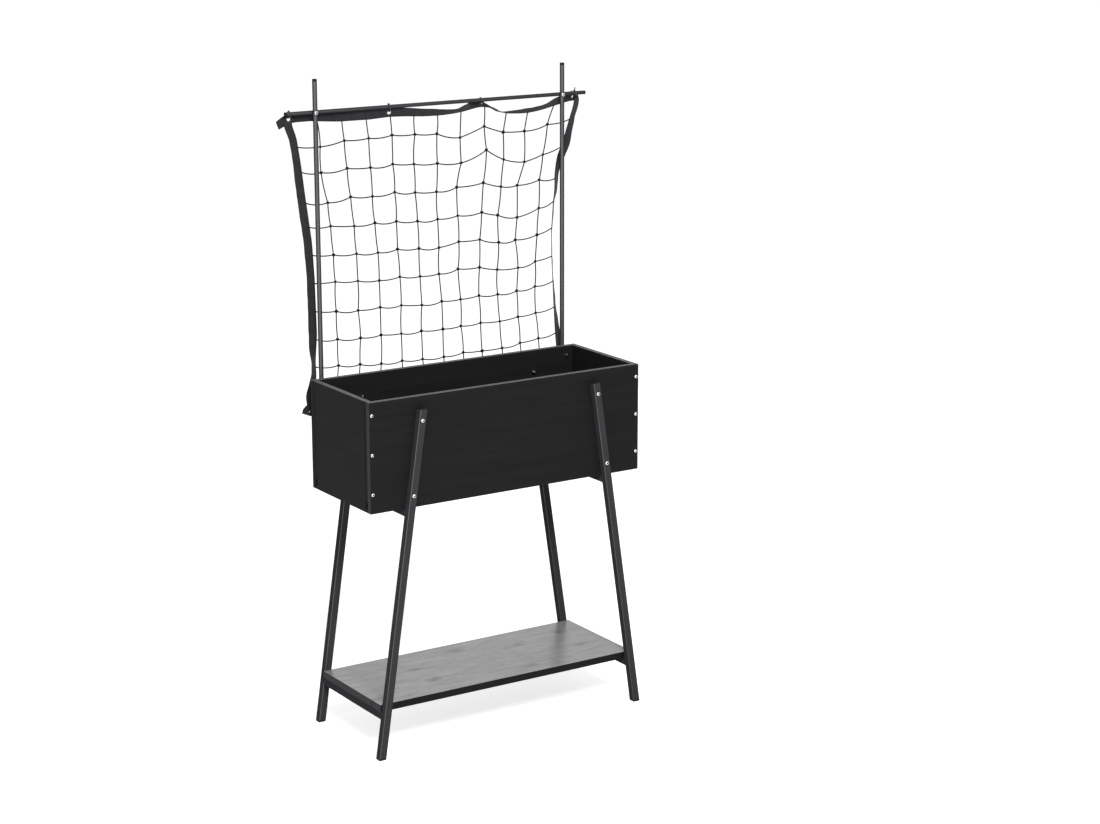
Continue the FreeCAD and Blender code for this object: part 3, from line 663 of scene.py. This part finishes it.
# the tuck nearly closes its hole; at one corner the two lapped tapes have slipped, so less of it is open
openHole, tuckedHole, slippedHole = eyeletValues["bore"] + 0.6, 1.35, 3.2
tapes = {}
for name, node, tape, holes in (
        ("netTopTape", "net_top_tape", topTape, {0: openHole, 1: openHole, 3: openHole, 2: tuckedHole}),
        ("netBottomTape", "net_bottom_tape", bottomTape,
         {5: openHole, 6: openHole, 7: openHole, 4: slippedHole}),
        ("netLeftTape", "net_left_tape", leftTape, {0: openHole, 4: tuckedHole}),
        ("netRightTape", "net_right_tape", rightTape, {3: openHole, 7: openHole})):
    shape, path, across, normal = tapeShape(tape)
    piece = makePiece(name, [shape], materials["tape"], "tape_webbing", (node,))
    pierce(piece, drillShapes(holes))
    beads = stitchShapes(path, across, normal, tape)
    stitches = makePiece(name + "Stitches", beads, materials["twine"], "net_twine")
    tapes[name] = (piece, stitches, lengthAlong(path)[-1] * mm)
eyelets = makePiece("netEyelets", eyeletShapes(), materials["eyelet"], "eyelet_metal", ("net_eyelets",))
print("tape and eyelets made")


# Net: twine between knots on a hanging surface, bordered by the tapes

netValues = {
    "columns": 12, "rows": 11, "height": 714.5, "pitch": 71.0, "drop": 9.0, "plane": 181.0,
    "topSpan": (-418.0, 415.0), "bottomSpan": (-378.0, 378.0),  # x of the net's corners
    "radius": 1.6, "sides": 8, "samples": 8,
    "crowd": 0.02, "crowdOnset": (4.0, 0.2),    # below the top the columns crowd to the right, as it hangs
    "belly": 5.0, "topFade": 5.0, "bottomFade": 8.0,
    "levelSag": 3.6, "sagShare": (0.3, 1.4), "uprightBow": 2.2, "loose": 2.6, "looseDepth": 0.6,
    "bite": 2.0,                 # how far the twine ends reach into the tapes
    "knot": (4.3, 3.5, 4.0), "knotRidge": 0.2, "knotTilt": 0.7, "knotSize": (0.9, 1.15),
}
# knots given row by row: column: (x, z) in mm; the others follow the formula
placedKnots = {
    1: {0: (-403, 1508), 1: (-342, 1505), 7: (66, 1499), 8: (139, 1523)},
    2: {0: (-389, 1445), 1: (-340, 1440), 7: (69, 1433), 8: (146, 1461), 9: (199, 1432), 10: (262, 1421),
        11: (320, 1436)},
    3: {0: (-377, 1367), 1: (-324, 1363), 8: (135, 1376), 9: (190, 1361), 10: (238, 1361), 11: (307, 1370),
        12: (357, 1370)},
    4: {8: (131, 1298), 9: (178, 1287), 10: (237, 1276), 11: (304, 1295), 12: (351, 1310)},
    5: {7: (60, 1227), 8: (123, 1227), 9: (181, 1214), 10: (232, 1216), 11: (298, 1224), 12: (345, 1239)},
    6: {7: (57, 1155), 8: (122, 1153), 9: (175, 1142), 10: (239, 1141), 11: (292, 1153), 12: (346, 1163)},
}
topStrings = {7: 69, 8: 141.5, 9: 207, 10: 273, 11: 355}  # where upright twines leave the top tape


def netKnots():
    # a knot's height mixes the top and bottom edges by its row; its x then mixes the side tapes there
    columns, rows = netValues["columns"], netValues["rows"]
    column, row = np.meshgrid(np.arange(columns + 1.0), np.arange(rows + 1.0), indexing="ij")
    # the first and the last space share what the pitch leaves over
    edge = (netValues["height"] - (rows - 2) * netValues["pitch"]) / 2
    level = (edge + (row - 1) * netValues["pitch"]) / netValues["height"]
    v = np.where(row == 0, 0, np.where(row == rows, 1, level))
    steepness, delay = netValues["crowdOnset"]
    crowding = np.sin(math.pi * column / columns) * np.clip(v * steepness - delay, 0, 1)
    u = column / columns + netValues["crowd"] * crowding
    top, bottom = tapeLine(topTape)[0], tapeLine(bottomTape)[0]
    topX, bottomX = (left + u * (right - left)
                     for left, right in (netValues["topSpan"], netValues["bottomSpan"]))
    for c, x in topStrings.items():
        topX[c, 0] = x
    topZ = np.interp(topX, top[:, 0], top[:, 2])
    bottomZ = np.interp(bottomX, bottom[:, 0], bottom[:, 2])
    inside = (row > 0) & (row < rows)
    z = topZ + (bottomZ - topZ) * v - netValues["drop"] * inside
    sides = []
    for tape, inward in ((leftTape, 1), (rightTape, -1)):
        path, sideways = tapeLine(tape)
        sides.append((path + sideways * inward * (tapeValues["width"] / 2 - netValues["bite"]))[::-1])
    leftX, leftY, rightX, rightY = (np.interp(z, side[:, 2], side[:, k]) for side in sides for k in (0, 1))
    x = np.where(inside, leftX + (rightX - leftX) * u, topX + (bottomX - topX) * v)
    # off its plane the net bellies in the middle, and follows the side tapes away from the top and the bottom
    plane = netValues["plane"]
    belly = netValues["belly"] * np.sin(math.pi * u) * np.sin(math.pi * v)
    blend = np.clip(v * netValues["topFade"], 0, 1) * np.clip((1 - v) * netValues["bottomFade"], 0, 1)
    y = plane + belly + ((leftY - plane) * (1 - u) ** 3 + (rightY - plane) * u ** 4) * blend
    knots = np.stack([x, y, z], -1)
    loose = rng.uniform(-1, 1, knots.shape) * netValues["loose"] * np.array([1, netValues["looseDepth"], 1])
    knots += loose * (inside & (column > 0) & (column < columns))[..., None]
    for r, placed in placedKnots.items():
        for c, (x, z) in placed.items():
            knots[c, r, 0], knots[c, r, 2] = x, z
    # every twine ends a little way inside its tape
    for c, side in zip((0, columns), sides):
        for k in (0, 1):
            knots[c, 1:-1, k] = np.interp(knots[c, 1:-1, 2], side[:, 2], side[:, k])
    for r, tapePath, up in ((0, top, 1), (rows, bottom, -1)):
        knots[:, r, 1] = np.interp(knots[:, r, 0], tapePath[:, 0], tapePath[:, 1])
        knots[:, r, 2] += up * netValues["bite"]
    return knots


def twinePath(knots, sagAxis, sag):
    # between two knots the twine is a straight run plus a parabola of its own small sag
    share = np.linspace(0, 1, netValues["samples"], endpoint=False)[None, :, None]
    spans = knots[:-1, None] + (knots[1:] - knots[:-1])[:, None] * share
    spans[..., sagAxis] += 4 * share[..., 0] * (1 - share[..., 0]) * sag[:, None]
    return np.concatenate([spans.reshape(-1, 3), knots[-1:]])


def knotShapes(knots):
    # a lumpy ball: an ellipsoid with two slanting ridges, as where one twine is tied round the other
    rows, cols = 7, 9
    lat = np.linspace(-math.pi / 2, math.pi / 2, rows)[:, None]
    lon = np.linspace(0, 2 * math.pi, cols, endpoint=False)[None]
    ridges = 1 + netValues["knotRidge"] * np.cos(2 * lon + 3 * lat) * np.cos(lat)
    ridged = ballShape((1, 1, 1), 1, rows, cols) * ridges[..., None] * np.array(netValues["knot"])
    shapes = []
    for spot in knots:
        tilt = rng.uniform(-netValues["knotTilt"], netValues["knotTilt"])
        c, s = math.cos(tilt), math.sin(tilt)
        axes = np.array([[c, 0, s], [0, 1, 0], [-s, 0, c]])
        shapes.append(placeShape(ridged * rng.uniform(*netValues["knotSize"]), axes, spot, 8.0))
    return shapes


knots = netKnots()
columns, rows = netValues["columns"], netValues["rows"]
netShapes = []
for r in range(1, rows):
    sag = -netValues["levelSag"] * rng.uniform(*netValues["sagShare"], columns)
    netShapes.append(rodShape(twinePath(knots[:, r], 2, sag), netValues["radius"], netValues["sides"]))
for c in range(1, columns):
    bow = netValues["uprightBow"] * rng.uniform(-1, 1, rows)
    netShapes.append(rodShape(twinePath(knots[c], 0, bow), netValues["radius"], netValues["sides"]))
netShapes += knotShapes(knots[1:-1, 1:-1].reshape(-1, 3))
net = makePiece("netTwine", netShapes, materials["twine"], "net_twine", ("net",))
print("net made:", len(net.data.polygons), "faces")


# Cable ties: a strap drawn tight round the bar and the upper half of the tape, through the eyelet

tieValues = {
    "width": 3.6, "thick": 1.1, "squareness": 0.35, "outline": 12, "around": 145, "gap": 0.3,
    "head": (2.6, 2.2, 1.5), "headBack": 0.5, "headSquareness": 0.4, "headGrid": (13, 20),
    "rimRound": 0.6, "edgeRound": 1.2,  # radii that the strap turns on at the hole's rim and the tape's edge
    "headUp": (0.6, 0.6, -0.8, 0.6), "tailUp": 0.4,
    "slants": (0.28, 0.28, 0.6, 0.28),
    "tails": ((1.6, 0.2), (1.5, -0.1), (0.9, 0.1), (8.5, 0.22)),  # length, lean to the right
}
barLow, barHigh = (np.array(v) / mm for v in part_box("top_bar"))
barMiddle, barRadius = (barLow + barHigh)[1:] / 2, (barHigh - barLow)[2] / 2


def tieShapes(spot, across, tail, lean, headUp):
    # in every direction the strap touches the outermost of three circles: the bar, the hole's upper rim, the
    # tape's edge; its plane slants, so it leans to the left as it goes up
    values = tieValues
    width, thick, gap = values["width"], values["thick"], values["gap"]
    upper = spot + across * tapeValues["width"] / 2
    rim = spot + across * (eyeletValues["bore"] - thick - values["rimRound"])
    circles = [(barMiddle, barRadius + gap), (rim[1:], values["rimRound"]), (upper[1:], values["edgeRound"])]
    turn = np.linspace(0, 2 * math.pi, values["around"])
    outward = np.stack([np.cos(turn), np.sin(turn)], 1)
    chosen = np.stack([outward @ c + r for c, r in circles], 1).argmax(1)
    loop = np.stack([circles[k][0] + circles[k][1] * d for k, d in zip(chosen, outward)])
    slant = -lean * (loop[:, 1] - rim[2])
    oval = superOval(width / 2, thick / 2, values["squareness"], values["outline"])
    off = oval[:, 1] + thick / 2
    strap = np.stack([spot[0] + slant[:, None] + oval[:, 0],
                      loop[:, :1] + outward[:, :1] * off, loop[:, 1:] + outward[:, 1:] * off], -1)
    barTop = barMiddle[1] + barRadius
    seat = np.array([spot[0] - lean * (barTop - rim[2]), barMiddle[0] + values["headBack"],
                     barTop + gap + thick + headUp])
    ball = ballShape(values["head"], values["headSquareness"], *values["headGrid"])
    head = placeShape(ball, np.eye(3), seat, 8.0)
    length, right = tail
    ahead = unit(np.array([right, -0.1, 1.0]))
    path = seat + (0, 0, values["tailUp"]) + np.linspace(0, 1, 10)[:, None] * ahead * length
    flat = capped(sweep(path, np.broadcast_to([1.0, 0.4, -right], path.shape), oval)[0])
    return [(strap, ringPattern(strap, turn * 8, 9.0)), head,
            (flat, ringPattern(flat, np.linspace(0, length, len(flat)), 9.0))]


for k, (spot, ahead, across) in enumerate(eyeletSpots[:4]):
    tie = tieShapes(spot, across, *(tieValues[key][k] for key in ("tails", "slants", "headUp")))
    makePiece(f"cableTie{k + 1}", tie, materials["nylon"], "tie_nylon", (f"cable_tie_{k + 1}",))
print("ties made")

tapeRests = {"netTopTape": ["cableTie1", "cableTie2", "cableTie3", "cableTie4"],
             "netBottomTape": ["netTwine"], "netLeftTape": ["netTopTape"], "netRightTape": ["netTopTape"]}
for name, rests in tapeRests.items():
    piece, stitches, length = tapes[name]


# Floor, light and camera

# floorLift is added where the camera or a reflection sees the floor, so that it reads as white
stageValues = {"floorHalf": 40.0, "floorColour": "#ececec", "floorLift": 0.75, "ambient": 0.3,
               "lampAim": (0, 0, 0.85),
               "key": {"place": (-1.2, -3.7, 4.2), "size": (2.0, 2.0), "watts": 350.0},
               "fill": {"place": (-4.15, -1.4, 1.15), "size": (0.6, 1.9), "watts": 20.0}}
cameraValues = {"place": (-3.2093, -5.2821, 2.3236), "yaw": -33.024, "pitch": -13.724, "roll": -0.055,
                "sensor": 36.0, "focalPixels": 2468.8, "photoWidth": 1100}


def seenRays(tree):
    # 1 for camera, glossy and transmission rays, 0 for the rays that only carry light
    rays = addNode(tree, "LightPath", {}, {}).outputs
    seen = compute(tree, "MAXIMUM", rays["Is Camera Ray"], rays["Is Glossy Ray"])
    return compute(tree, "MAXIMUM", seen, rays["Is Transmission Ray"])


def makeFloor():
    half = stageValues["floorHalf"]
    mesh = bpy.data.meshes.new("floor")
    corners = [(-half, -half, 0), (half, -half, 0), (half, half, 0), (-half, half, 0)]
    mesh.from_pydata(corners, [], [(0, 1, 2, 3)])
    material, tree, shader = startMaterial("paleStudioFloor", {
        "Base Color": linear(stageValues["floorColour"]), "Roughness": 0.9, "Specular IOR Level": 0.1,
        "Emission Color": (1, 1, 1, 1)})
    lift = compute(tree, "MULTIPLY", seenRays(tree), stageValues["floorLift"])
    connect(tree, shader, {"Emission Strength": lift})
    mesh.materials.append(material)
    floor = bpy.data.objects.new("floor", mesh)
    bpy.context.scene.collection.objects.link(floor)


def makeWorld():
    # white to the camera, dimmer where it lights things
    world = bpy.data.worlds.new("studio")
    bpy.context.scene.world = world
    world.use_nodes = True
    back = world.node_tree.nodes["Background"]
    back.inputs["Color"].default_value = (1, 1, 1, 1)
    strength = ramp(world.node_tree, seenRays(world.node_tree), whole, (stageValues["ambient"], 1.0))
    connect(world.node_tree, back, {"Strength": strength})


def makeLamp(name, values):
    lamp = bpy.data.lights.new(name, "AREA")
    lamp.shape, lamp.energy = "RECTANGLE", values["watts"]
    lamp.size, lamp.size_y = values["size"]
    holder = bpy.data.objects.new(name, lamp)
    bpy.context.scene.collection.objects.link(holder)
    aim = Vector(stageValues["lampAim"]) - Vector(values["place"])
    turned = aim.to_track_quat("-Z", "Y").to_matrix().to_4x4()  # a lamp shines along its own -Z
    holder.matrix_world = Matrix.Translation(values["place"]) @ turned


def makeCamera():
    values = cameraValues
    data = bpy.data.cameras.new("camera")
    data.sensor_width = values["sensor"]
    data.lens = values["focalPixels"] * values["sensor"] / values["photoWidth"]
    camera = bpy.data.objects.new("camera", data)
    bpy.context.scene.collection.objects.link(camera)
    camera.matrix_world = (Matrix.Translation(values["place"])
                           @ Matrix.Rotation(math.radians(values["yaw"]), 4, "Z")
                           @ Matrix.Rotation(math.radians(90 + values["pitch"]), 4, "X")
                           @ Matrix.Rotation(math.radians(values["roll"]), 4, "Z"))
    bpy.context.scene.camera = camera


makeFloor()
makeWorld()
makeLamp("keyLamp", stageValues["key"])
makeLamp("fillLamp", stageValues["fill"])
makeCamera()
bpy.context.scene.view_settings.view_transform = "Standard"
print("stage made")
